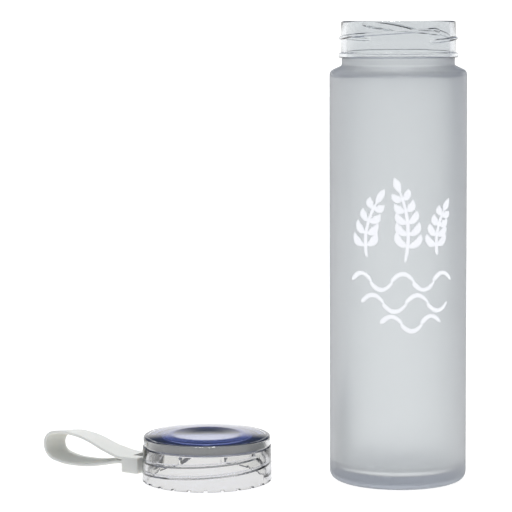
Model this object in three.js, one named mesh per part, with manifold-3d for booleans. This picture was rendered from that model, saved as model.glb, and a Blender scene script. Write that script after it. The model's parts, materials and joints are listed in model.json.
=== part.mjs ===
// A tall wide-mouth drinking bottle, frosted outside up to its clear threaded neck.
// Its clear screw cap stands open side down beside it, and a white silicone carrying
// strap swings on the cap's lug.
// Millimetres, +Z up. The origin is the centre of the bottle's flat base.

import * as THREE from 'three';
import { mergeVertices } from 'three/addons/utils/BufferGeometryUtils.js';
import Module from 'manifold-3d';

const wasm = await Module();
wasm.setup();

// Bottle
const BODY_R = 32.5;
const BODY_WALL = 2.4;
const FLOOR_Z = 6;
const HEEL_FILLET = 4;
const SHOULDER_EDGE_Z = 194.7;
const SHOULDER_SLOPE = THREE.MathUtils.degToRad(25);
const SHOULDER_FILLET = 2.6;
const LOWER_NECK_R = 26.7;
const BEAD_R = 28.35;
const BEAD_LOW_Z = 201;
const BEAD_HIGH_Z = 203.4;
const NECK_R = 27.2;
const BORE_R = 24.6;
const RIM_Z = 218.2;

// Thread: two starts, right-handed, shared by the neck and the cap
const STARTS = 2;
const LEAD = 10.6;
const NECK_THREAD = { height: 0.95, base: 2.2, crest: 0.9, startDeg: 114, sweepDeg: 200, startZ: 208.4 };
const CAP_THREAD = { height: 1.2, base: 2.6, crest: 0.5, startDeg: 151, sweepDeg: 360, startZ: 3.4 };
const THREAD_ROOT = 0.4;
const THREAD_FADE_DEG = 14;
const THREAD_STEP_DEG = 8;

// Cap, in a frame of its own on the cap's axis
const CAP_X = -91.4;
const CAP_Y = -2.3;
const SKIRT_R = 31;
const SKIRT_TOP_R = 30.7;
const SKIRT_BORE_R = 28.6;
const SKIRT_TOP_Z = 16.6;
const NOTCHES = 24;
const NOTCH = { wide: 1.7, deep: 0.8 };
const CAP_HEIGHT = 22.2;
const CROWN_R = 30.35;
const CROWN_EDGE_Z = 21.2;
const CROWN_FILLET = 0.8;
const CROWN_UNDERSIDE_Z = 18.7;
const CREST_R = 17;
const CREST_FILLET = 25;
const DISH_R = 5;
const DISH_Z = 21.65;
const DISH_FILLET = 160;
const PLUG_R = 24.1;
const PLUG_WALL = 2.1;
const PLUG_LOW_Z = 14.4;
const SEAL = { innerR: 24.5, outerR: 28.2, lowZ: 17, highZ: 18.4, lipR: 27.4, lipZ: 20.6 };
const GAP = 0.3;

// Lug and strap: x runs outwards from the cap's axis, at this bearing
const STRAP_BEARING = THREE.MathUtils.degToRad(148);
const PIN = { x: 37.2, z: 3.8, r: 1.1, length: 15.2 };
const PIN_BORE_R = PIN.r + GAP;
const TONGUE = { rootX: 29.6, r: 2.4, wide: 7 };
const HEAD = { nearX: 34.3, farX: 44, high: 8, wide: 18.5, fillet: 1, slotWide: 7.8, slotX: 40.4 };
const RECESS = { x: 40.9, z: 3.7, wide: 17.1 };
const RIBBON = { wide: 16.4, thick: 1.5, steps: 44 };
const RIBBON_MIDLINE = [
  [41.3, 6.85], [46, 7], [55.8, 9.8], [65.5, 13.6], [74, 15.5], [83, 15.8],
  [89.5, 13.8], [91.4, 9], [89.3, 4], [83, 1.5], [73, 0.76], [64, 1.25],
  [55.8, 2.7], [46.5, 4.6], [41.3, 4.95],
];

// Mesh fineness
const TURN_SEGMENTS = 48;
const PIN_SEGMENTS = 16;
const ARC_STEP = THREE.MathUtils.degToRad(30);
const CHAMFER_UNDER = 1;

/** Points of an outline whose corners are [x, y, fillet radius]. Small fillets become chamfers. */
function roundedOutline(corners, closed) {
  const last = corners.length - 1;
  const points = [];
  corners.forEach(([x, y, radius = 0], i) => {
    const corner = new THREE.Vector2(x, y);
    if (radius === 0 || (!closed && (i === 0 || i === last))) {
      points.push(corner);
      return;
    }
    const before = corners[i === 0 ? last : i - 1];
    const after = corners[i === last ? 0 : i + 1];
    points.push(...filletArc(corner, new THREE.Vector2(...before), new THREE.Vector2(...after), radius));
  });
  return points.filter((p, i) => i === 0 || p.distanceTo(points[i - 1]) > 1e-3);
}

/** The arc of a given radius that touches both lines of a corner, from the line before it. */
function filletArc(corner, before, after, radius) {
  const back = before.clone().sub(corner).normalize();
  const on = after.clone().sub(corner).normalize();
  const half = Math.acos(back.dot(on)) / 2;
  const start = back.clone().multiplyScalar(radius / Math.tan(half)).add(corner);
  const centre = back.clone().add(on).setLength(radius / Math.sin(half)).add(corner);
  const turn = (Math.PI - 2 * half) * Math.sign(on.cross(back));
  const steps = radius < CHAMFER_UNDER ? 1 : Math.ceil(Math.abs(turn) / ARC_STEP);
  return Array.from({ length: steps + 1 }, (_, k) => (
    start.clone().rotateAround(centre, (turn * k) / steps)
  ));
}

/** A manifold solid from a closed geometry: shared vertices merged, flat triangles dropped. */
function solidOf(geometry) {
  geometry.deleteAttribute('normal');
  geometry.deleteAttribute('uv');
  const merged = mergeVertices(geometry, 1e-4);
  const triangles = [];
  for (let i = 0; i < merged.index.count; i += 3) {
    const [a, b, c] = [0, 1, 2].map((k) => merged.index.getX(i + k));
    if (a !== b && b !== c && c !== a) {
      triangles.push(a, b, c);
    }
  }
  return new wasm.Manifold(new wasm.Mesh({
    numProp: 3,
    vertProperties: new Float32Array(merged.attributes.position.array),
    triVerts: new Uint32Array(triangles),
  }));
}

function geometryOf(solid) {
  const { vertProperties, triVerts } = solid.getMesh();
  const geometry = new THREE.BufferGeometry();
  geometry.setAttribute('position', new THREE.BufferAttribute(vertProperties, 3));
  geometry.setIndex(new THREE.BufferAttribute(triVerts, 1));
  geometry.computeVertexNormals();
  return geometry;
}

/** A solid turned about Z. An open outline starts and ends on the axis. */
function turned(corners, closed = false) {
  const outline = roundedOutline(corners, closed);
  if (closed) {
    outline.push(outline[0].clone());
  }
  return solidOf(new THREE.LatheGeometry(outline, TURN_SEGMENTS).rotateX(Math.PI / 2));
}

/** A solid with a side outline in x and z, as wide along y as it says, centred on y = 0. */
function extrudedSideways(outline, wide) {
  const geometry = new THREE.ExtrudeGeometry(new THREE.Shape(outline), { depth: wide, bevelEnabled: false });
  return solidOf(geometry.rotateX(Math.PI / 2).translate(0, wide / 2, 0));
}

function box(lowX, highX, wide, lowZ, highZ) {
  const geometry = new THREE.BoxGeometry(highX - lowX, wide, highZ - lowZ);
  return solidOf(geometry.translate((lowX + highX) / 2, 0, (lowZ + highZ) / 2));
}

/** A round bar along y at the pin's place. */
function pinBar(radius, length) {
  const geometry = new THREE.CylinderGeometry(radius, radius, length, PIN_SEGMENTS);
  return solidOf(geometry.translate(PIN.x, 0, PIN.z));
}

/**
 * One helical ridge on a wall: a straight bar wound round Z. side is 1 on an outer wall and -1
 * inside a bore. Towards both ends the bar sinks into the wall until nothing shows.
 */
function ridge(wallR, side, { height, base, crest, startDeg, sweepDeg, startZ }, turnDeg) {
  const section = [[-THREAD_ROOT, -base / 2], [height, -crest / 2], [height, crest / 2], [-THREAD_ROOT, base / 2]];
  const outline = section.map(([out, up]) => new THREE.Vector2(side * out, up));
  const steps = Math.round(sweepDeg / THREAD_STEP_DEG);
  const bar = new THREE.ExtrudeGeometry(new THREE.Shape(outline), { depth: 1, steps, bevelEnabled: false });
  const place = bar.attributes.position;
  for (let i = 0; i < place.count; i += 1) {
    const along = (1 - place.getZ(i)) * sweepDeg;
    const shown = THREE.MathUtils.smoothstep(Math.min(along, sweepDeg - along), 0, THREAD_FADE_DEG);
    const r = wallR + place.getX(i) - side * (1 - shown) * (height + THREAD_ROOT / 2);
    const angle = THREE.MathUtils.degToRad(startDeg + turnDeg + along);
    const z = startZ + place.getY(i) + (LEAD * along) / 360;
    place.setXYZ(i, r * Math.cos(angle), r * Math.sin(angle), z);
  }
  return solidOf(bar);
}

function withThread(solid, wallR, side, thread) {
  let threaded = solid;
  for (let start = 0; start < STARTS; start += 1) {
    threaded = threaded.add(ridge(wallR, side, thread, (start * 360) / STARTS));
  }
  return threaded;
}

function bottleBody() {
  const slope = Math.tan(SHOULDER_SLOPE);
  const shoulderZ = (r) => SHOULDER_EDGE_Z + (BODY_R - r) * slope;
  const innerZ = (r) => shoulderZ(r) - BODY_WALL / Math.cos(SHOULDER_SLOPE);
  const innerR = BODY_R - BODY_WALL;
  const shell = turned([
    [0, 0],
    [BODY_R, 0, HEEL_FILLET],
    [BODY_R, SHOULDER_EDGE_Z, SHOULDER_FILLET],
    [LOWER_NECK_R, shoulderZ(LOWER_NECK_R), 0.9],
    [LOWER_NECK_R, BEAD_LOW_Z],
    [BEAD_R, BEAD_LOW_Z, 0.6],
    [BEAD_R, BEAD_HIGH_Z, 0.6],
    [NECK_R, BEAD_HIGH_Z],
    [NECK_R, RIM_Z, 0.8],
    [BORE_R, RIM_Z, 0.8],
    [BORE_R, innerZ(BORE_R), 2],
    [innerR, innerZ(innerR), 2.5],
    [innerR, FLOOR_Z, 5],
    [0, FLOOR_Z],
  ]);
  return withThread(shell, NECK_R, 1, NECK_THREAD);
}

function lugTongue() {
  const low = PIN.z - TONGUE.r;
  const high = PIN.z + TONGUE.r;
  const end = PIN.x + TONGUE.r;
  const corners = [[TONGUE.rootX, low], [end, low, TONGUE.r], [end, high, TONGUE.r], [TONGUE.rootX, high]];
  const tongue = extrudedSideways(roundedOutline(corners, true), TONGUE.wide);
  return tongue.subtract(pinBar(PIN_BORE_R, TONGUE.wide + 1));
}

function capSkirt() {
  let skirt = turned([
    [SKIRT_BORE_R, 0],
    [SKIRT_R, 0, 0.5],
    [SKIRT_TOP_R, SKIRT_TOP_Z, 0.4],
    [SKIRT_BORE_R, SKIRT_TOP_Z],
  ], true);
  skirt = withThread(skirt, SKIRT_BORE_R, -1, CAP_THREAD);
  const notch = box(SKIRT_BORE_R - 1, SKIRT_R + 1, NOTCH.wide, -1, NOTCH.deep);
  for (let i = 0; i < NOTCHES; i += 1) {
    skirt = skirt.subtract(notch.rotate([0, 0, (i * 360) / NOTCHES]));
  }
  return skirt.add(lugTongue().rotate([0, 0, THREE.MathUtils.radToDeg(STRAP_BEARING)]));
}

/** The disc on top of the cap: domed and dished above, with a plug ring and the seal's groove below. */
function capCrown() {
  const footR = SEAL.outerR + GAP;
  return turned([
    [0, CROWN_UNDERSIDE_Z],
    [PLUG_R - PLUG_WALL, CROWN_UNDERSIDE_Z],
    [PLUG_R - PLUG_WALL, PLUG_LOW_Z],
    [PLUG_R, PLUG_LOW_Z, 0.6],
    [PLUG_R, CROWN_UNDERSIDE_Z],
    [SEAL.lipR - GAP, CROWN_UNDERSIDE_Z],
    [SEAL.lipR - GAP, SEAL.lipZ + GAP],
    [footR, SEAL.lipZ + GAP],
    [footR, SKIRT_TOP_Z + GAP],
    [CROWN_R, SKIRT_TOP_Z + GAP],
    [CROWN_R, CROWN_EDGE_Z, CROWN_FILLET],
    [CREST_R, CAP_HEIGHT, CREST_FILLET],
    [DISH_R, DISH_Z, DISH_FILLET],
    [0, DISH_Z],
  ]);
}

/** A flat ring that closes on the bottle's rim, with a thin lip that stands in the crown's groove. */
function sealRing() {
  const { innerR, outerR, lowZ, highZ, lipR, lipZ } = SEAL;
  return turned([
    [innerR, lowZ, 0.4],
    [outerR, lowZ, 0.4],
    [outerR, lipZ],
    [lipR, lipZ],
    [lipR, highZ],
    [innerR, highZ, 0.4],
  ], true);
}

/** The moulded block that closes the loop and hinges on the lug pin. */
function strapHead() {
  const { nearX, farX, high, wide, fillet, slotWide, slotX } = HEAD;
  const corners = [[nearX, 0, fillet], [farX, 0, fillet], [farX, high, fillet], [nearX, high, fillet]];
  const block = extrudedSideways(roundedOutline(corners, true), wide);
  const slot = box(nearX - 1, slotX, slotWide, -1, high + 1);
  const recess = box(RECESS.x, farX + 1, RECESS.wide, RECESS.z, high + 1);
  return block.subtract(slot).subtract(recess).subtract(pinBar(PIN_BORE_R, PIN.length + 2 * GAP));
}

/** The flat band: its midline from the head out along the top, round, and back underneath. */
function strapLoop() {
  const midline = new THREE.SplineCurve(RIBBON_MIDLINE.map(([x, z]) => new THREE.Vector2(x, z)));
  const outer = [];
  const inner = [];
  for (let i = 0; i <= RIBBON.steps; i += 1) {
    const middle = midline.getPointAt(i / RIBBON.steps);
    const along = midline.getTangentAt(i / RIBBON.steps);
    const aside = new THREE.Vector2(-along.y, along.x).multiplyScalar(RIBBON.thick / 2);
    outer.push(middle.clone().add(aside));
    inner.unshift(middle.clone().sub(aside));
  }
  return extrudedSideways([...outer, ...inner], RIBBON.wide);
}

function part(name, solid, color, roughness, metalness = 0) {
  const material = new THREE.MeshStandardMaterial({ color, roughness, metalness });
  const mesh = new THREE.Mesh(geometryOf(solid), material);
  mesh.name = name;
  return mesh;
}

const strap = new THREE.Group();
strap.rotation.z = STRAP_BEARING;
strap.add(
  part('lug_pin', pinBar(PIN.r, PIN.length), 0xd9dde0, 0.3),
  part('strap_head', strapHead(), 0xe6e8e6, 0.6),
  part('strap_loop', strapLoop(), 0xe6eae9, 0.6),
);

const cap = new THREE.Group();
cap.position.set(CAP_X, CAP_Y, 0);
cap.add(
  part('cap_skirt', capSkirt(), 0xe4e8ee, 0.08),
  part('cap_crown', capCrown(), 0xa9b9e2, 0.06),
  part('seal_ring', sealRing(), 0xdfe3e6, 0.5),
  strap,
);

const bottle = new THREE.Group();
bottle.add(part('bottle_body', bottleBody(), 0xcdd2d6, 0.5), cap);

export default bottle;
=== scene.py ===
# %% [markdown]
# # A frosted water bottle, its screw cap and its silicone strap
#
# This script dresses a finished CAD frame. The frame says where every part is and how it moves;
# Blender gives each part its fine surface and its material. Everything is in metres, +Z up, and
# the origin is the centre of the bottle's base.

# %% The frame
import json
import math

import bmesh
import bpy
from mathutils import Matrix, Vector


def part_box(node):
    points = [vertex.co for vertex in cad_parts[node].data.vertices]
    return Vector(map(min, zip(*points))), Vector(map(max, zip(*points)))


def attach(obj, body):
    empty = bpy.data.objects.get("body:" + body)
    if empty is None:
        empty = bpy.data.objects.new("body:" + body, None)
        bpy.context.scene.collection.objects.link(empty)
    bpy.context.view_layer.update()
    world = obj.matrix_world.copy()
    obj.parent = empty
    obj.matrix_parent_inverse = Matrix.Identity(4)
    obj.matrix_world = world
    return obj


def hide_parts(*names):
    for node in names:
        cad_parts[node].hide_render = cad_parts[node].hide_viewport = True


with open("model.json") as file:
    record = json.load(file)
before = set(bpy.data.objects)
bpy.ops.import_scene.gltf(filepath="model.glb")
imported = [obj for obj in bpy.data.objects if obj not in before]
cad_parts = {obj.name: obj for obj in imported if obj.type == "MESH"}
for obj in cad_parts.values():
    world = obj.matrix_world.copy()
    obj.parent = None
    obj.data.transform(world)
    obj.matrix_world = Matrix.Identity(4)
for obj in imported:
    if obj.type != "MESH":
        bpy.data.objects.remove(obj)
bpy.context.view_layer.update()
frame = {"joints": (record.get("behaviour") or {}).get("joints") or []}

MM = 0.001

# %% [markdown]
# ## Sizes
#
# The sizes that the looks depend on are read from the frame's boxes, so a piece made here fits the
# part it stands for. What a box can't give, such as a wall, a fillet or the thread's section, is
# named here in millimetres, as a drawing would.

# %% Sizes from the frame
def span(node, axis):
    low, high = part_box(node)
    return high[axis] - low[axis]


body_r = span("bottle_body", 0) / 2
rim_z = span("bottle_body", 2)
crown_low, crown_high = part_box("cap_crown")
cap_centre = Vector(((crown_low[0] + crown_high[0]) / 2, (crown_low[1] + crown_high[1]) / 2, 0))
crown_r = span("cap_crown", 0) / 2
cap_top_z = crown_high[2]
swing = next(joint for joint in frame["joints"] if joint["name"] == "strap_swing")
pin_centre = Vector(swing["pos_m"])
strap_out = (pin_centre - cap_centre).to_2d().normalized()
strap_bearing = math.atan2(strap_out.y, strap_out.x)
pin_reach = (pin_centre - cap_centre).to_2d().length
print(f"body radius {body_r / MM:.1f} mm, height {rim_z / MM:.1f} mm, cap at {cap_centre / MM}")
print(f"strap bearing {math.degrees(strap_bearing):.1f} degrees, pin {pin_reach / MM:.1f} mm out")

# %% [markdown]
# ## Turned shapes
#
# A bottle, a cap and a ring are all shapes of revolution. They could be stacked from cylinders, but
# a single outline that is spun round the axis gives one wall with true fillets. The outline is a
# few corners; a vertex bevel rounds each corner to its own radius, and a full spin with merging
# closes the seam. Corners on the axis close to a pole.

# %% Helpers for meshes
TURN_STEPS = 192
FILLET_STEPS = 6


def outline(bm, corners, closed=False):
    """A wire of corners (radius, height, fillet), in mm, with every corner rounded."""
    points = [Vector((r * MM, 0, z * MM)) for r, z, _ in corners]
    verts = [bm.verts.new(point) for point in points]
    pairs = list(zip(verts, verts[1:]))
    if closed:
        pairs.append((verts[-1], verts[0]))
    for pair in pairs:
        bm.edges.new(pair)
    count = len(corners)
    for i, (_, _, fillet) in enumerate(corners):
        if fillet == 0:
            continue
        back = points[i - 1] - points[i]
        on = points[(i + 1) % count] - points[i]
        reach = fillet * MM / math.tan(back.angle(on) / 2)
        bmesh.ops.bevel(bm, geom=[verts[i]], offset=reach, offset_type="OFFSET", affect="VERTICES",
                        segments=FILLET_STEPS, profile=0.5, material=-1)
    bmesh.ops.remove_doubles(bm, verts=bm.verts, dist=1e-3 * MM)


def spun(corners, closed=False):
    """A closed bmesh turned from an outline about the Z axis."""
    bm = bmesh.new()
    outline(bm, corners, closed)
    bmesh.ops.spin(bm, geom=bm.verts[:] + bm.edges[:], axis=(0, 0, 1), cent=(0, 0, 0),
                   angle=math.tau, steps=TURN_STEPS, use_merge=True)
    bmesh.ops.remove_doubles(bm, verts=bm.verts, dist=1e-3 * MM)
    bmesh.ops.recalc_face_normals(bm, faces=bm.faces)
    return bm


def piece(name, bm, *materials, sharp_deg=30):
    """An object from a bmesh, smooth but for its sharp edges."""
    mesh = bpy.data.meshes.new(name)
    bm.to_mesh(mesh)
    bm.free()
    for material in materials:
        mesh.materials.append(material)
    mesh.shade_smooth()
    mesh.set_sharp_from_angle(angle=math.radians(sharp_deg))
    made = bpy.data.objects.new(name, mesh)
    bpy.context.scene.collection.objects.link(made)
    return made


def combined(base, tool, operation):
    """Joins a tool object to the base, or cuts it away, and removes the tool."""
    modifier = base.modifiers.new(operation, "BOOLEAN")
    modifier.object = tool
    modifier.operation = operation
    modifier.solver = "EXACT"
    shape = bpy.data.meshes.new_from_object(base.evaluated_get(bpy.context.evaluated_depsgraph_get()))
    base.modifiers.clear()
    base.data = shape
    shape.shade_smooth()
    shape.set_sharp_from_angle(angle=math.radians(30))
    bpy.data.objects.remove(tool)


def report(made):
    """Prints a piece's size and whether its mesh is closed."""
    bm = bmesh.new()
    bm.from_mesh(made.data)
    loose = sum(not edge.is_manifold for edge in bm.edges)
    volume = bm.calc_volume(signed=True) / MM**3
    print(f"{made.name}: {len(bm.faces)} faces, {loose} open edges, {volume:.0f} mm3")
    bm.free()


# %% [markdown]
# ## Materials: a small kit
#
# Every finish is a node tree. One function adds a node, sets it and links it; another turns the
# sRGB hex of a colour chart into the linear values that Blender works in.

# %% Helpers for materials
def linear(hex_code):
    """sRGB hex to the linear values that shaders use."""
    channels = [int(hex_code[i:i + 2], 16) / 255 for i in (1, 3, 5)]
    return (*(c / 12.92 if c <= 0.04045 else ((c + 0.055) / 1.055) ** 2.4 for c in channels), 1.0)


def enabled_input(node, key):
    """The input of that number or name: a Mix node has one of each name per data type."""
    if isinstance(key, int):
        return node.inputs[key]
    return next(socket for socket in node.inputs if socket.name == key and socket.enabled)


def add(tree, kind, inputs=None, **settings):
    """Adds a node, sets it, and gives its inputs values or links."""
    node = tree.nodes.new(kind)
    for key, value in settings.items():
        setattr(node, key, value)
    for key, value in (inputs or {}).items():
        socket = enabled_input(node, key)
        if isinstance(value, bpy.types.NodeSocket):
            tree.links.new(value, socket)
        else:
            socket.default_value = value
    return node


def mottle(tree, place, lump_mm, detail=2.0, **inputs):
    """Noise from 0 to 1 whose lumps have a real size."""
    sizes = {"Vector": place, "Scale": 1 / (lump_mm * MM), "Detail": detail}
    return add(tree, "ShaderNodeTexNoise", {**sizes, **inputs}).outputs["Fac"]


def new_material(name):
    """An empty material: its tree, its output and object coordinates in metres."""
    material = bpy.data.materials.new(name)
    material.use_nodes = True
    tree = material.node_tree
    tree.nodes.clear()
    output = add(tree, "ShaderNodeOutputMaterial")
    return material, tree, output, add(tree, "ShaderNodeTexCoord").outputs["Object"]


# %% [markdown]
# ## The frosted wall
#
# The body is clear stock that has been frosted on the outside, by spraying or etching: the inner
# face stays polished. Frosting scatters what passes, so the bottle shows the light behind it as a
# soft grey glow, with a satin sheen and no sharp reflection. It could be faked with a white diffuse
# paint, but then the wall would hide the light inside. Rough refraction outside and smooth
# refraction inside give the real depth. The stock is very slightly blue, which shows only where
# the path through it is long, so the tint is absorption inside the wall.

# %% Frosted stock
STOCK_IOR = 1.52
FROST_GRAIN_MM = 0.5
STOCK_DENSITY = 9.0
STOCK_TINT = "#6C86B0"
POLISH = 0.02


def stock_volume(tree, output, tint, density):
    """Gives a material a tint that grows with the length of the path through it."""
    absorb = add(tree, "ShaderNodeVolumeAbsorption", {"Color": linear(tint), "Density": density})
    tree.links.new(absorb.outputs[0], output.inputs["Volume"])


def frosted_stock():
    """Clear stock, sprayed or etched to a frost where the face attribute "frost" is 1. The real
    grain is finer than a tenth of a millimetre, and is drawn at half a millimetre so that it shows."""
    material, tree, output, place = new_material("frosted_stock")
    frost = add(tree, "ShaderNodeAttribute", attribute_name="frost").outputs["Fac"]
    grain = mottle(tree, place, FROST_GRAIN_MM, detail=3.0, Roughness=0.6)
    cloud = mottle(tree, place, 25)
    dull = add(tree, "ShaderNodeMapRange", {"Value": cloud, "To Min": 0.46, "To Max": 0.52})
    rough = add(tree, "ShaderNodeMix", {"Factor": frost, "A": POLISH, "B": dull.outputs[0]})
    bump = add(tree, "ShaderNodeBump", {"Height": grain, "Strength": frost,
                                        "Distance": 0.006 * MM})
    shader = add(tree, "ShaderNodeBsdfPrincipled", {
        "Base Color": linear("#E6E8E8"),
        "Roughness": rough.outputs[0],
        "IOR": STOCK_IOR,
        "Transmission Weight": 1.0,
        "Normal": bump.outputs[0],
    })
    tree.links.new(shader.outputs[0], output.inputs["Surface"])
    stock_volume(tree, output, STOCK_TINT, STOCK_DENSITY)
    return material


FROSTED = frosted_stock()
print("material", FROSTED.name)

# %% [markdown]
# ## The thread
#
# A bottle thread is a ridge of constant section that climbs round the wall and fades out at both
# ends. A texture could draw it, but a clear thread is seen by its refraction, so it has to be real.
# The section is a small four-sided wire; each step extrudes it, turns it and lifts it, and near
# its ends it sinks into the wall. The open ends are filled, and a boolean joins it to the wall.

# %% Thread ridges
LEAD_MM = 10.6
STARTS = 2
ROOT_MM = 0.4
FADE_DEG = 14


def ridge(wall_r, side, height, foot, crest, start_deg, sweep_deg, start_z):
    """One ridge, in mm. side is 1 on an outer wall and -1 inside a bore."""
    step_deg = 360 / TURN_STEPS
    steps = round(sweep_deg / step_deg)
    sunk = height + ROOT_MM / 2
    section = [(-ROOT_MM, -foot / 2), (height, -crest / 2), (height, crest / 2), (-ROOT_MM, foot / 2)]
    bm = bmesh.new()
    ring = [bm.verts.new(((wall_r + side * (out - sunk)) * MM, 0, (start_z + up) * MM))
            for out, up in section]
    edges = [bm.edges.new((ring[i - 1], ring[i])) for i in range(len(ring))]
    begin = Matrix.Rotation(math.radians(start_deg), 3, "Z")
    bmesh.ops.rotate(bm, verts=ring, cent=(0, 0, 0), matrix=begin)
    turn = Matrix.Rotation(math.radians(step_deg), 3, "Z")

    def shown(step):
        from_end = min(step, steps - step) * step_deg
        t = min(from_end / FADE_DEG, 1)
        return t * t * (3 - 2 * t)

    for step in range(1, steps + 1):
        out = bmesh.ops.extrude_edge_only(bm, edges=edges)["geom"]
        ring = [item for item in out if isinstance(item, bmesh.types.BMVert)]
        edges = [item for item in out if isinstance(item, bmesh.types.BMEdge)
                 and all(vert in ring for vert in item.verts)]
        bmesh.ops.rotate(bm, verts=ring, cent=(0, 0, 0), matrix=turn)
        angle = math.radians(start_deg + step * step_deg)
        outward = Vector((math.cos(angle), math.sin(angle), 0)) * side
        rise = (shown(step) - shown(step - 1)) * sunk * MM
        lift = LEAD_MM * MM / TURN_STEPS
        bmesh.ops.translate(bm, verts=ring, vec=outward * rise + Vector((0, 0, lift)))
    bmesh.ops.holes_fill(bm, edges=bm.edges, sides=len(section))
    bmesh.ops.recalc_face_normals(bm, faces=bm.faces)
    return bm


def add_threads(base, centre, **ridge_sizes):
    """Joins one ridge per start to a wall, each turned on from the last."""
    first = ridge_sizes.pop("start_deg")
    for start in range(STARTS):
        bm = ridge(start_deg=first + start * 360 / STARTS, **ridge_sizes)
        bmesh.ops.translate(bm, verts=bm.verts, vec=centre)
        combined(base, piece("ridge", bm), "UNION")


# %% [markdown]
# ## The bottle
#
# One shell: a flat base with a rounded heel, a straight side, a short sloping shoulder, a frosted
# lower neck, the transfer bead, and the clear neck with its square rim. The outline goes up the
# outside and back down the inside, so the wall has its real thickness all the way. Faces that look
# outwards below the bead are frosted; the rest are polished.

# %% Bottle body
WALL_MM = 2.4
FLOOR_MM = 6
BEAD_LOW_MM = 201
BEAD_HIGH_MM = 203.4
BEAD_OUT_MM = 1.15
FROST_OVER_MM = 0.2
LOWER_NECK_R_MM = 26.7
NECK_R_MM = 27.2
BORE_R_MM = 24.6
SHOULDER_MM = 194.7
SLOPE = math.radians(25)


def bottle_outline():
    """The shell's corners (radius, height, fillet), up the outside and down the inside, in mm."""
    side = body_r / MM
    rim = rim_z / MM
    inner = side - WALL_MM

    def shoulder(r):
        return SHOULDER_MM + (side - r) * math.tan(SLOPE)

    def under_shoulder(r):
        return shoulder(r) - WALL_MM / math.cos(SLOPE)

    return [
        (0, 0, 0),
        (side, 0, 4),
        (side, SHOULDER_MM, 2.6),
        (LOWER_NECK_R_MM, shoulder(LOWER_NECK_R_MM), 0.9),
        (LOWER_NECK_R_MM, BEAD_LOW_MM, 0.25),
        (NECK_R_MM + BEAD_OUT_MM, BEAD_LOW_MM, 0.6),
        (NECK_R_MM + BEAD_OUT_MM, BEAD_HIGH_MM, 0.6),
        (NECK_R_MM, BEAD_HIGH_MM, 0.25),
        (NECK_R_MM, rim, 0.8),
        (BORE_R_MM, rim, 0.8),
        (BORE_R_MM, under_shoulder(BORE_R_MM), 2),
        (inner, under_shoulder(inner), 2.5),
        (inner, FLOOR_MM, 5),
        (0, FLOOR_MM, 0),
    ]


bottle = piece("bottle_shell", spun(bottle_outline()), FROSTED)
add_threads(bottle, Vector((0, 0, 0)), wall_r=NECK_R_MM, side=1, height=0.95, foot=2.2, crest=0.9,
            start_deg=114, sweep_deg=200, start_z=208.4)
frost = bottle.data.attributes.new("frost", "FLOAT", "FACE")
for face, mark in zip(bottle.data.polygons, frost.data):
    outward = face.normal.to_2d().dot(face.center.to_2d().normalized())
    underneath = face.normal.z < -0.5
    below_bead = face.center.z < (BEAD_LOW_MM + FROST_OVER_MM) * MM
    mark.value = float(below_bead and (outward > 0.01 or underneath))
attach(bottle, "bottle")
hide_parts("bottle_body")
report(bottle)

# %% [markdown]
# ## The brushed print
#
# The front carries a white transfer print with the uneven, tapered strokes of a brush. The motif
# here is a plain one: three leafy sprigs over three ripples. It could be an image, but strokes made
# as thin strips stay sharp at any distance. Each stroke is a narrow grid, laid along a curve in
# the flat, widened and tapered like a brush mark, then wrapped on the wall and given the
# thickness of a layer of ink.

# %% Ink
INK_MM = 0.05
INK_GAP_MM = 0.02
STROKE_STEPS = 28


def screen_ink():
    """White screen-printing ink, cured: opaque, satin, with the faint tooth of the mesh. It also has a
    faint white glow, painted light that keeps the strokes bright in shade.
    """
    material, tree, output, place = new_material("white_screen_ink")
    tooth = mottle(tree, place, 0.35, detail=3.0)
    load = mottle(tree, place, 6)
    colour = add(tree, "ShaderNodeMix", {"Factor": load, "A": linear("#F4F5F5"),
                                         "B": linear("#FFFFFF")}, data_type="RGBA")
    rough = add(tree, "ShaderNodeMapRange", {"Value": tooth, "To Min": 0.42, "To Max": 0.6})
    bump = add(tree, "ShaderNodeBump", {"Height": tooth, "Strength": 0.2,
                                        "Distance": 0.02 * MM})
    # The white emission is painted light: the ink glows a little, so its strokes stay bright where they are
    # in shade.
    shader = add(tree, "ShaderNodeBsdfPrincipled", {
        "Base Color": colour.outputs[2], "Roughness": rough.outputs[0], "IOR": 1.5,
        "Emission Color": linear("#FFFFFF"), "Emission Strength": 0.25, "Normal": bump.outputs[0]})
    tree.links.new(shader.outputs[0], output.inputs["Surface"])
    return material


def stroke(bm, points, width, leaf=False):
    """Adds one mark to a bmesh. points are the controls of a curve, (across, up) in mm round the
    wall. A brush mark has blunt ends and thins as the brush runs dry; a leaf swells in its middle."""
    grid = bmesh.ops.create_grid(bm, x_segments=STROKE_STEPS, y_segments=2, size=1)["verts"]
    curve = [Vector(point) for point in points]
    for vert in grid:
        t, side = (vert.co.x + 1) / 2, vert.co.y
        place, along = bezier(curve, t), bezier_way(curve, t)
        blunt = math.sqrt(max(1 - (2 * t - 1) ** 8, 0.0)) * (1 - 0.3 * t)
        spread = math.sin(math.pi * t) ** 0.8 if leaf else blunt
        uneven = 1 + 0.08 * math.sin(9 * t + 3 * points[0][0])
        off = along.orthogonal().normalized() * side * width / 2 * spread * uneven
        vert.co = Vector((place.x + off.x, 0, place.y + off.y))


def bezier(curve, t):
    """The point at t on a curve of any degree, by halving between neighbours."""
    while len(curve) > 1:
        curve = [a.lerp(b, t) for a, b in zip(curve, curve[1:])]
    return curve[0]


def bezier_way(curve, t):
    """The direction of travel at t on the curve."""
    return bezier([b - a for a, b in zip(curve, curve[1:])], t)


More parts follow.
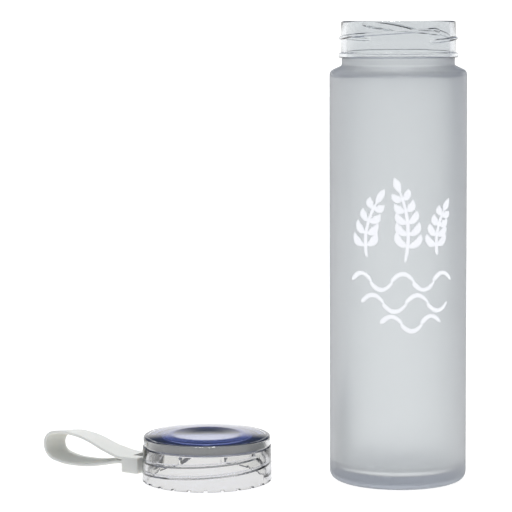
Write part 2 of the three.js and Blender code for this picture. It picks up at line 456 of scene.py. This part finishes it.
def wrapped(bm, radius_mm):
    """Wraps flat marks, in mm, on the front of the wall and gives them the ink's thickness."""
    for vert in bm.verts:
        turn = vert.co.x / radius_mm
        outward = Vector((math.sin(turn), -math.cos(turn), 0))
        vert.co = outward * radius_mm * MM + Vector((0, 0, vert.co.z * MM))
    bmesh.ops.remove_doubles(bm, verts=bm.verts, dist=1e-3 * MM)
    bmesh.ops.dissolve_degenerate(bm, edges=bm.edges, dist=1e-4 * MM)
    bmesh.ops.recalc_face_normals(bm, faces=bm.faces)
    for face in bm.faces:
        if face.normal.dot(Vector((face.calc_center_median().x, face.calc_center_median().y, 0))) < 0:
            face.normal_flip()
    bmesh.ops.solidify(bm, geom=bm.faces[:], thickness=INK_MM * MM)
    bmesh.ops.recalc_face_normals(bm, faces=bm.faces)
    return bm


# %% Motif
STEM_WIDE_MM = 1.7
LEAF_WIDE_MM = 3.4
TIP_WIDE_MM = 3.2
RIPPLE_WIDE_MM = 2.1
JOIN_MM = 0.4
LOWEST_LEAF = 0.22
LEAF_SPREAD = 0.66


def sprig(bm, stem, leaves, reach):
    """A bent stem with slanting leaves on both sides that shorten towards the tip, and one at
    the tip. The leaves spread over the part of the stem's run above the lowest."""
    stroke(bm, stem, STEM_WIDE_MM)
    curve = [Vector(point) for point in stem]
    for i in range(leaves):
        t = LOWEST_LEAF + LEAF_SPREAD * i / (leaves - 1)
        root, way = bezier(curve, t), bezier_way(curve, t).normalized()
        long = reach * (1.15 - 0.55 * t)
        for side in (-1, 1):
            out = Vector((way.y, -way.x)) * side
            bend = root + out * long * 0.7 + way * long * 0.1
            stroke(bm, [root, bend, root + out * long * 0.75 + way * long * 0.8], LEAF_WIDE_MM, leaf=True)
    tip, way = curve[-1], bezier_way(curve, 1).normalized()
    stroke(bm, [tip - way, tip + way * reach * 0.4, tip + way * reach * 0.9], TIP_WIDE_MM, leaf=True)


def ripple(bm, start, humps, pitch, rise):
    """A water line in one run of the brush: a wave of joined marks."""
    x, z = start
    for i in range(humps):
        up = rise if i % 2 == 0 else -rise
        stroke(bm, [(x + i * pitch - JOIN_MM, z), (x + (i + 0.35) * pitch, z + up),
                    (x + (i + 0.65) * pitch, z + up), (x + (i + 1) * pitch + JOIN_MM, z)], RIPPLE_WIDE_MM)


print_bm = bmesh.new()
sprig(print_bm, [(-17, 109), (-20, 122), (-12, 135)], 4, 7.5)
sprig(print_bm, [(1, 107), (5, 124), (-1.5, 140)], 5, 7.5)
sprig(print_bm, [(17, 110), (15, 121), (21, 131)], 4, 6.5)
ripple(print_bm, (-25, 98), 5, 10, 5)
ripple(print_bm, (-19.5, 88), 4, 10.5, 5)
ripple(print_bm, (-10, 78.5), 3, 9.5, 4.5)
brushed = piece("brushed_print", wrapped(print_bm, body_r / MM + INK_GAP_MM), screen_ink())
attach(brushed, "bottle")
report(brushed)

# %% [markdown]
# ## The clear cap
#
# The cap is injection moulded in clear plastic and reads by its edges: thread lines, notches and
# steps bend the light behind them. The skirt is nearly colourless. The crown is a thick tinted
# disc: looking down through 3 mm it is pale, but light that travels along it, edge to edge, comes
# out deep blue. Only absorption gives both from one material, so no blue band is painted.

# %% Cap materials
CLEAR_IOR = 1.52
FLOW_LINE_MM = 6


def clear_plastic(name, base, tint, density):
    """Polished clear moulding, with the slight ripple of flow lines."""
    material, tree, output, place = new_material(name)
    wave = mottle(tree, place, FLOW_LINE_MM)
    bump = add(tree, "ShaderNodeBump", {"Height": wave, "Strength": 0.06,
                                        "Distance": 0.1 * MM})
    shader = add(tree, "ShaderNodeBsdfPrincipled", {
        "Base Color": linear(base),
        "Roughness": 0.015,
        "IOR": CLEAR_IOR,
        "Transmission Weight": 1.0,
        "Normal": bump.outputs[0],
    })
    tree.links.new(shader.outputs[0], output.inputs["Surface"])
    stock_volume(tree, output, tint, density)
    return material


SKIRT_CLEAR = clear_plastic("clear_skirt_moulding", "#F0EFEA", "#687094", 85)
CROWN_TINTED = clear_plastic("tinted_lens_moulding", "#FFFFFF", "#0060CC", 310)

# %% [markdown]
# ## Cap skirt
#
# A ring with a slight flare, two full-turn ridges inside, small notches round its foot and a
# tongue on one side that carries the strap. The notches and the pin hole are cut with booleans,
# because each is a plain hole through a wall that already has its shape.

# %% Skirt
SKIRT_TOP_MM = 16.6
SKIRT_BORE_MM = 28.6
SKIRT_R_MM = 31
NOTCHES = 24
NOTCH_WIDE_MM = 1.7
NOTCH_DEEP_MM = 0.8
NOTCH_TOOL_MM = 5
TONGUE_R_MM = 2.4
TONGUE_WIDE_MM = 7
PIN_R_MM = 1.1
PIN_BORE_MM = 1.4
OVERCUT_MM = 1
BAR_SIDES = 48
TIP_ROUNDING = 0.98


def block(low, high, bevel=0.0):
    """A box between two corners in mm, with its edges rounded."""
    bm = bmesh.new()
    bmesh.ops.create_cube(bm, size=1)
    low, high = Vector(low) * MM, Vector(high) * MM
    bmesh.ops.scale(bm, verts=bm.verts, vec=high - low)
    bmesh.ops.translate(bm, verts=bm.verts, vec=(low + high) / 2)
    if bevel:
        bmesh.ops.bevel(bm, geom=bm.edges[:], offset=bevel * MM, offset_type="OFFSET",
                        affect="EDGES", segments=4, profile=0.5, material=-1)
    return bm


def bar(radius, length):
    """A round bar along Y, centred on the origin, in mm."""
    bm = bmesh.new()
    bmesh.ops.create_cone(bm, cap_ends=True, segments=BAR_SIDES, radius1=radius * MM,
                          radius2=radius * MM, depth=length * MM)
    bmesh.ops.rotate(bm, verts=bm.verts, cent=(0, 0, 0), matrix=Matrix.Rotation(math.pi / 2, 3, "X"))
    return bm


def at_cap(bm):
    """Moves a bmesh made round the origin to the cap's axis."""
    bmesh.ops.translate(bm, verts=bm.verts, vec=cap_centre)
    return bm


def at_strap(bm):
    """Moves a bmesh made with x outwards from the cap's axis to the strap's bearing."""
    bmesh.ops.rotate(bm, verts=bm.verts, cent=(0, 0, 0), matrix=Matrix.Rotation(strap_bearing, 3, "Z"))
    return at_cap(bm)


def at_pin(bm):
    """Moves a bmesh made round the origin to the strap's pin."""
    bmesh.ops.translate(bm, verts=bm.verts, vec=(pin_reach, 0, pin_centre.z))
    return at_strap(bm)


def skirt_notches():
    """Blocks standing through the skirt's foot, one for each notch."""
    bm = bmesh.new()
    for i in range(NOTCHES):
        out = bmesh.ops.create_cube(bm, size=1)["verts"]
        bmesh.ops.scale(bm, verts=out, vec=(NOTCH_TOOL_MM * MM, NOTCH_WIDE_MM * MM, 2 * NOTCH_DEEP_MM * MM))
        bmesh.ops.translate(bm, verts=out, vec=((SKIRT_BORE_MM + SKIRT_R_MM) / 2 * MM, 0, 0))
        turn = Matrix.Rotation(math.tau * i / NOTCHES, 3, "Z")
        bmesh.ops.rotate(bm, verts=out, cent=(0, 0, 0), matrix=turn)
    return at_cap(bm)


def lug_tongue():
    """The tongue's side view has a half-round end about the pin, which a bevel on two edges makes."""
    pin_x, pin_z = pin_reach / MM, pin_centre.z / MM
    end = pin_x + TONGUE_R_MM
    bm = block((SKIRT_BORE_MM + 1, -TONGUE_WIDE_MM / 2, pin_z - TONGUE_R_MM),
               (end, TONGUE_WIDE_MM / 2, pin_z + TONGUE_R_MM))
    tip = [edge for edge in bm.edges
           if all(vert.co.x > (end - 0.1) * MM for vert in edge.verts)
           and abs(edge.verts[0].co.z - edge.verts[1].co.z) < 1e-6]
    bmesh.ops.bevel(bm, geom=tip, offset=TONGUE_R_MM * TIP_ROUNDING * MM, offset_type="OFFSET",
                    affect="EDGES", segments=10, profile=0.5, material=-1)
    return at_strap(bm)


skirt = piece("cap_skirt_moulding", at_cap(spun([
    (SKIRT_BORE_MM, 0, 0.2),
    (SKIRT_R_MM, 0, 0.5),
    (SKIRT_R_MM - 0.3, SKIRT_TOP_MM, 0.4),
    (SKIRT_BORE_MM, SKIRT_TOP_MM, 0.2),
], closed=True)), SKIRT_CLEAR)
add_threads(skirt, cap_centre, wall_r=SKIRT_BORE_MM, side=-1, height=1.2, foot=2.6, crest=0.5,
            start_deg=151, sweep_deg=360, start_z=3.4)
combined(skirt, piece("notches", skirt_notches()), "DIFFERENCE")
combined(skirt, piece("tongue", lug_tongue()), "UNION")
combined(skirt, piece("pin_hole", at_pin(bar(PIN_BORE_MM, TONGUE_WIDE_MM + OVERCUT_MM))), "DIFFERENCE")
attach(skirt, "cap")
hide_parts("cap_skirt")
report(skirt)

# %% [markdown]
# ## Cap crown and seal
#
# The crown is a disc with a gently domed top, a shallow thumb dish in its middle, a foot that
# stands on the skirt and a plug ring that goes into the bottle's mouth. The few degrees of slope
# matter: on the near side they send what enters the top along the disc, so it looks deep blue.
#
# It could be one turned piece, but only its middle is tinted, and one closed piece of clear stock
# can hold only one tint without light leaking between them. So it is made as two: the tinted lens
# with its plug ring, and a clear collar round it, with a seam too thin to see. The seal is a soft
# ring beneath, of milky silicone, that presses on the bottle's rim.

# %% Crown
UNDERSIDE_MM = 18.7
PLUG_R_MM = 24.1
PLUG_WALL_MM = 2.1
PLUG_LOW_MM = 14.4
SEAL_OUT_MM = 28.2
LIP_R_MM = 27.4
LIP_MM = 20.6
EDGE_MM = 21.2
CREST_R_MM = 17
DISH_R_MM = 5
DISH_MM = 21.65
COLLAR_IN_MM = 28.5
SEAM_MM = 0.04
GAP_MM = 0.3


def crown_top(r):
    """The height of the domed top outside the crest, in mm."""
    crest = cap_top_z / MM
    return crest - (crest - EDGE_MM) * (r - CREST_R_MM) / (crown_r / MM - CREST_R_MM)


lens = piece("cap_crown_lens", at_cap(spun([
    (0, UNDERSIDE_MM, 0),
    (PLUG_R_MM - PLUG_WALL_MM, UNDERSIDE_MM, 0.5),
    (PLUG_R_MM - PLUG_WALL_MM, PLUG_LOW_MM, 0.3),
    (PLUG_R_MM, PLUG_LOW_MM, 0.6),
    (PLUG_R_MM, UNDERSIDE_MM, 0.2),
    (LIP_R_MM - GAP_MM, UNDERSIDE_MM, 0.2),
    (LIP_R_MM - GAP_MM, LIP_MM + GAP_MM, 0.1),
    (COLLAR_IN_MM, LIP_MM + GAP_MM, 0.05),
    (COLLAR_IN_MM, crown_top(COLLAR_IN_MM), 0.05),
    (CREST_R_MM, cap_top_z / MM, 25),
    (DISH_R_MM, DISH_MM, 160),
    (0, DISH_MM, 0),
])), CROWN_TINTED)
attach(lens, "cap")
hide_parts("cap_crown")
report(lens)

collar = piece("cap_crown_collar", at_cap(spun([
    (COLLAR_IN_MM + SEAM_MM, SKIRT_TOP_MM + GAP_MM, 0.1),
    (crown_r / MM, SKIRT_TOP_MM + GAP_MM, 0.3),
    (crown_r / MM, EDGE_MM, 0.8),
    (COLLAR_IN_MM + SEAM_MM, crown_top(COLLAR_IN_MM + SEAM_MM), 0.05),
], closed=True)), SKIRT_CLEAR)
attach(collar, "cap")
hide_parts("cap_crown")
report(collar)


# %% Seal ring
def milky_silicone():
    """Cast silicone rubber without pigment: light goes in and comes out milky, with a dull skin."""
    material, tree, output, place = new_material("milky_seal_silicone")
    cloud = mottle(tree, place, 3)
    colour = add(tree, "ShaderNodeMix", {"Factor": cloud, "A": linear("#ECEEEE"),
                                         "B": linear("#F6F7F5")}, data_type="RGBA")
    shader = add(tree, "ShaderNodeBsdfPrincipled", {
        "Base Color": colour.outputs[2],
        "Roughness": 0.45,
        "IOR": 1.41,
        "Subsurface Weight": 0.5,
        "Subsurface Radius": (1.0, 1.0, 1.0),
        "Subsurface Scale": 0.1 * MM,
    })
    tree.links.new(shader.outputs[0], output.inputs["Surface"])
    return material


SEAL_IN_MM = 24.5
SEAL_LOW_MM = 17
SEAL_HIGH_MM = 18.4
seal = piece("seal_ring_moulding", at_cap(spun([
    (SEAL_IN_MM, SEAL_LOW_MM, 0.4),
    (SEAL_OUT_MM, SEAL_LOW_MM, 0.4),
    (SEAL_OUT_MM, LIP_MM, 0.2),
    (LIP_R_MM, LIP_MM, 0.2),
    (LIP_R_MM, SEAL_HIGH_MM, 0.2),
    (SEAL_IN_MM, SEAL_HIGH_MM, 0.4),
], closed=True)), milky_silicone())
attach(seal, "seal")
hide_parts("seal_ring")
report(seal)

# %% [markdown]
# ## The strap
#
# A flat band of white silicone, looped, with both ends held in a moulded head that hinges on a
# pin. The band's side view is one smooth curve through a few points; it is made a mesh, pulled
# out sideways to the band's width, thickened, and its edges are rounded, as a moulded band's are.
# A cloth simulation could give the loop its sag, but a moulded band keeps its shape, and a curve
# says it in a few points. The upper run leans a couple of millimetres, as a soft loop does.
# Silicone is matt and slightly translucent, so it takes a little subsurface scattering.

# %% Strap materials
def strap_silicone():
    """Compression-moulded white silicone: dull, dust-fine texture, light bleeding through edges."""
    material, tree, output, place = new_material("white_strap_silicone")
    fine = mottle(tree, place, 0.4, detail=4.0)
    broad = mottle(tree, place, 14)
    colour = add(tree, "ShaderNodeMix", {"Factor": broad, "A": linear("#DCDDD6"),
                                         "B": linear("#E4E4DE")}, data_type="RGBA")
    rough = add(tree, "ShaderNodeMapRange", {"Value": fine, "To Min": 0.48, "To Max": 0.66})
    bump = add(tree, "ShaderNodeBump", {"Height": fine, "Strength": 0.15,
                                        "Distance": 0.05 * MM})
    shader = add(tree, "ShaderNodeBsdfPrincipled", {
        "Base Color": colour.outputs[2],
        "Roughness": rough.outputs[0],
        "IOR": 1.41,
        "Subsurface Weight": 0.35,
        "Subsurface Radius": (1.0, 0.9, 0.8),
        "Subsurface Scale": 2 * MM,
        "Normal": bump.outputs[0],
    })
    tree.links.new(shader.outputs[0], output.inputs["Surface"])
    return material


def pin_plastic():
    """A small moulded pin, smooth from turning in its hole."""
    material, tree, output, place = new_material("polished_pin_plastic")
    rub = mottle(tree, place, 0.8)
    rough = add(tree, "ShaderNodeMapRange", {"Value": rub, "To Min": 0.2, "To Max": 0.35})
    shader = add(tree, "ShaderNodeBsdfPrincipled", {"Base Color": linear("#D9DDE0"),
                                                    "Roughness": rough.outputs[0], "IOR": 1.49})
    tree.links.new(shader.outputs[0], output.inputs["Surface"])
    return material


WHITE_SILICONE = strap_silicone()

# %% Strap band
BAND_WIDE_MM = 16.4
BAND_THICK_MM = 1.5
BAND_EDGE_MM = 0.4
LEAN_MM = 2.0
LEAN_RUN_MM = 18
LEAN_FROM_Z_MM = 3
LEAN_RISE_MM = 8
HEAD_FAR_MM = 44
BAND_MIDLINE_MM = [
    (41.3, 6.85), (46, 7), (55.8, 9.8), (65.5, 13.6), (74, 15.5), (83, 15.8),
    (89.5, 13.8), (91.4, 9), (89.3, 4), (83, 1.5), (73, 0.76), (64, 1.25),
    (55.8, 2.7), (46.5, 4.6), (41.3, 4.95),
]


def smooth_line(points, resolution):
    """A bmesh wire along a smooth curve through points given in mm as (x, z)."""
    curve = bpy.data.curves.new("line", "CURVE")
    curve.dimensions = "3D"
    spline = curve.splines.new("BEZIER")
    spline.bezier_points.add(len(points) - 1)
    for knot, (x, z) in zip(spline.bezier_points, points):
        knot.co = (x * MM, 0, z * MM)
        knot.handle_left_type = knot.handle_right_type = "AUTO"
    curve.resolution_u = resolution
    carrier = bpy.data.objects.new("line", curve)
    bpy.context.scene.collection.objects.link(carrier)
    mesh = bpy.data.meshes.new_from_object(carrier.evaluated_get(bpy.context.evaluated_depsgraph_get()))
    bm = bmesh.new()
    bm.from_mesh(mesh)
    bpy.data.meshes.remove(mesh)
    bpy.data.objects.remove(carrier)
    bpy.data.curves.remove(curve)
    return bm


def strap_band():
    """The looped band. Its upper run leans a little to one side, growing away from the head."""
    bm = smooth_line(BAND_MIDLINE_MM, 8)
    bmesh.ops.translate(bm, verts=bm.verts, vec=(0, -BAND_WIDE_MM / 2 * MM, 0))
    out = bmesh.ops.extrude_edge_only(bm, edges=bm.edges[:])["geom"]
    far = [item for item in out if isinstance(item, bmesh.types.BMVert)]
    bmesh.ops.translate(bm, verts=far, vec=(0, BAND_WIDE_MM * MM, 0))
    across = [edge for edge in bm.edges if abs(edge.verts[0].co.y - edge.verts[1].co.y) > MM]
    bmesh.ops.subdivide_edges(bm, edges=across, cuts=7, use_grid_fill=True)
    bmesh.ops.recalc_face_normals(bm, faces=bm.faces)
    middle = {vert: vert.normal.copy() for vert in bm.verts}
    for vert, normal in middle.items():
        vert.co -= normal * BAND_THICK_MM / 2 * MM
    bmesh.ops.solidify(bm, geom=bm.faces[:], thickness=-BAND_THICK_MM * MM)
    bmesh.ops.recalc_face_normals(bm, faces=bm.faces)
    rims = [edge for edge in bm.edges if edge.is_manifold and edge.calc_face_angle() > math.radians(60)]
    bmesh.ops.bevel(bm, geom=rims, offset=BAND_EDGE_MM * MM, offset_type="OFFSET", affect="EDGES",
                    segments=3, profile=0.5, material=-1)
    for vert in bm.verts:
        away = (vert.co.x / MM - HEAD_FAR_MM) / LEAN_RUN_MM
        above = (vert.co.z / MM - LEAN_FROM_Z_MM) / LEAN_RISE_MM
        leaning = min(max(away, 0), 1) * min(max(above, 0), 1)
        side = 0.5 - vert.co.y / (BAND_WIDE_MM * MM)
        vert.co.z -= leaning * side * LEAN_MM * MM
    return at_strap(bm)


band = piece("strap_band", strap_band(), WHITE_SILICONE, sharp_deg=50)
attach(band, "strap")
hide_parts("strap_loop")
report(band)

# %% Strap head
HEAD_NEAR_MM = 34.3
HEAD_HIGH_MM = 8
HEAD_WIDE_MM = 18.5
HEAD_SLOT_MM = 7.8
HEAD_SLOT_X_MM = 40.4
RECESS_X_MM = 40.9
RECESS_Z_MM = 3.7
RECESS_WIDE_MM = 17.1
PIN_LENGTH_MM = 15.2
PIN_END_PLAY_MM = 0.6
PIN_EDGE_MM = 0.2

head = piece("strap_head_block", at_strap(block(
    (HEAD_NEAR_MM, -HEAD_WIDE_MM / 2, 0), (HEAD_FAR_MM, HEAD_WIDE_MM / 2, HEAD_HIGH_MM), bevel=0.7)),
    WHITE_SILICONE)
slot = block((HEAD_NEAR_MM - OVERCUT_MM, -HEAD_SLOT_MM / 2, -OVERCUT_MM),
             (HEAD_SLOT_X_MM, HEAD_SLOT_MM / 2, HEAD_HIGH_MM + OVERCUT_MM))
recess = block((RECESS_X_MM, -RECESS_WIDE_MM / 2, RECESS_Z_MM),
               (HEAD_FAR_MM + OVERCUT_MM, RECESS_WIDE_MM / 2, HEAD_HIGH_MM + OVERCUT_MM))
combined(head, piece("slot", at_strap(slot)), "DIFFERENCE")
combined(head, piece("recess", at_strap(recess)), "DIFFERENCE")
combined(head, piece("pin_hole", at_pin(bar(PIN_BORE_MM, PIN_LENGTH_MM + PIN_END_PLAY_MM))), "DIFFERENCE")
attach(head, "strap")
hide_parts("strap_head")
report(head)

# %% Lug pin
pin_bm = bar(PIN_R_MM, PIN_LENGTH_MM)
ends = [edge for edge in pin_bm.edges if edge.calc_face_angle() > math.radians(60)]
bmesh.ops.bevel(pin_bm, geom=ends, offset=PIN_EDGE_MM * MM, offset_type="OFFSET", affect="EDGES",
                segments=2, profile=0.5, material=-1)
pin = piece("lug_pin_bar", at_pin(pin_bm), pin_plastic())
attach(pin, "cap")
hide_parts("lug_pin")
report(pin)

# %% [markdown]
# ## The camera, the floor and the light
#
# The view is long, from 0.99 m, with the eye level with the bottle's rim, as a catalogue picture
# is taken. A level camera would need its lens shifted down by nearly half a picture, and every
# other view would keep that shift and lose the bottle's top. A small tilt and a small shift give
# the same framing, and the body's sides stay very nearly parallel. The room is a pale studio: a
# white floor that runs into a white backdrop, a light ceiling with a soft box, and darker sides
# that give the frosted wall its gentle shading.

# %% Camera
EYE = Vector((-0.0679, -0.992, 0.2128))
SENSOR_MM = 36
LENS_MM = 147.25
TILT_DOWN = 0.077
ROLL = 0.0037
TURN = -0.0007
SHIFT_Y = -0.12

camera_data = bpy.data.cameras.new("camera")
camera_data.lens = LENS_MM
camera_data.sensor_width = SENSOR_MM
camera_data.shift_y = SHIFT_Y
camera_data.clip_start = 0.05
camera_data.clip_end = 50
camera = bpy.data.objects.new("camera", camera_data)
camera.location = EYE
camera.rotation_euler = (math.pi / 2 - TILT_DOWN, ROLL, TURN)
bpy.context.scene.collection.objects.link(camera)
bpy.context.scene.camera = camera


# %% Floor
def pale_floor():
    """Matt white card, lit from above and glowing slightly so that it stays white."""
    material, tree, output, _ = new_material("white_card")
    shader = add(tree, "ShaderNodeBsdfPrincipled", {"Base Color": linear("#8C8C8C"), "Roughness": 0.9,
                                                    "Specular IOR Level": 0.1,
                                                    "Emission Color": linear("#FFFFFF"),
                                                    "Emission Strength": 0.95})
    tree.links.new(shader.outputs[0], output.inputs["Surface"])
    return material


FLOOR_HALF = 6.0
FLOOR_DROP_MM = 0.05
floor_bm = bmesh.new()
bmesh.ops.create_grid(floor_bm, x_segments=1, y_segments=1, size=FLOOR_HALF)
bmesh.ops.translate(floor_bm, verts=floor_bm.verts, vec=(0, 0, -FLOOR_DROP_MM * MM))
floor = piece("floor", floor_bm, pale_floor())


# %% Lights and room
CARD_LIGHT = 1.23
CEILING_LIGHT = 1.0
SURROUNDINGS = "#5E6A88"
CARD_WAY = (-0.2, 0.98, 0)
CARD_EDGE = {"From Min": 0.1, "From Max": 0.75}
CARD_TOP = {"From Min": 0.16, "From Max": 0.28, "To Min": 1.0, "To Max": 0.0}
CEILING_EDGE = {"From Min": 0.6, "From Max": 0.8}


def soft_box(name, place, aim, size, power):
    """A rectangular area light, in metres and watts, turned to face a point."""
    data = bpy.data.lights.new(name, "AREA")
    data.shape = "RECTANGLE"
    data.size, data.size_y = size
    data.energy = power
    lamp = bpy.data.objects.new(name, data)
    lamp.location = place
    lamp.rotation_euler = (Vector(aim) - Vector(place)).to_track_quat("-Z", "Y").to_euler()
    bpy.context.scene.collection.objects.link(lamp)


soft_box("hair_light", (-0.06, 0.35, 1.5), (-0.01, 0, 0.2), (0.5, 0.3), 12)

world = bpy.data.worlds.new("studio")
world.use_nodes = True
bpy.context.scene.world = world
room = world.node_tree
room.nodes.clear()
sight = add(room, "ShaderNodeTexCoord").outputs["Generated"]
split = add(room, "ShaderNodeSeparateXYZ", {"Vector": sight})
facing = add(room, "ShaderNodeVectorMath", {0: sight, 1: CARD_WAY}, operation="DOT_PRODUCT")
towards_back = add(room, "ShaderNodeMapRange", {"Value": facing.outputs["Value"], **CARD_EDGE},
                   interpolation_type="SMOOTHSTEP")
below_top = add(room, "ShaderNodeMapRange", {"Value": split.outputs["Z"], **CARD_TOP},
                interpolation_type="SMOOTHSTEP")
card = add(room, "ShaderNodeMath", {0: towards_back.outputs[0], 1: below_top.outputs[0]},
           operation="MULTIPLY")
ceiling = add(room, "ShaderNodeMapRange", {"Value": split.outputs["Z"], **CEILING_EDGE},
              interpolation_type="SMOOTHSTEP")
with_card = add(room, "ShaderNodeMix", {"Factor": card.outputs[0], "A": linear(SURROUNDINGS),
                                        "B": (CARD_LIGHT,) * 3 + (1,)}, data_type="RGBA")
with_ceiling = add(room, "ShaderNodeMix", {"Factor": ceiling.outputs[0], "A": with_card.outputs[2],
                                           "B": (CEILING_LIGHT,) * 3 + (1,)}, data_type="RGBA")
glow = add(room, "ShaderNodeBackground", {"Color": with_ceiling.outputs[2], "Strength": 1.0})
sky = add(room, "ShaderNodeOutputWorld")
room.links.new(glow.outputs[0], sky.inputs["Surface"])

# %% Picture settings
BOUNCES = 24
scene = bpy.context.scene
scene.view_settings.view_transform = "Standard"
scene.view_settings.look = "None"
scene.cycles.max_bounces = BOUNCES
scene.cycles.transmission_bounces = BOUNCES
scene.cycles.use_denoising = True
scene.cycles.caustics_reflective = False
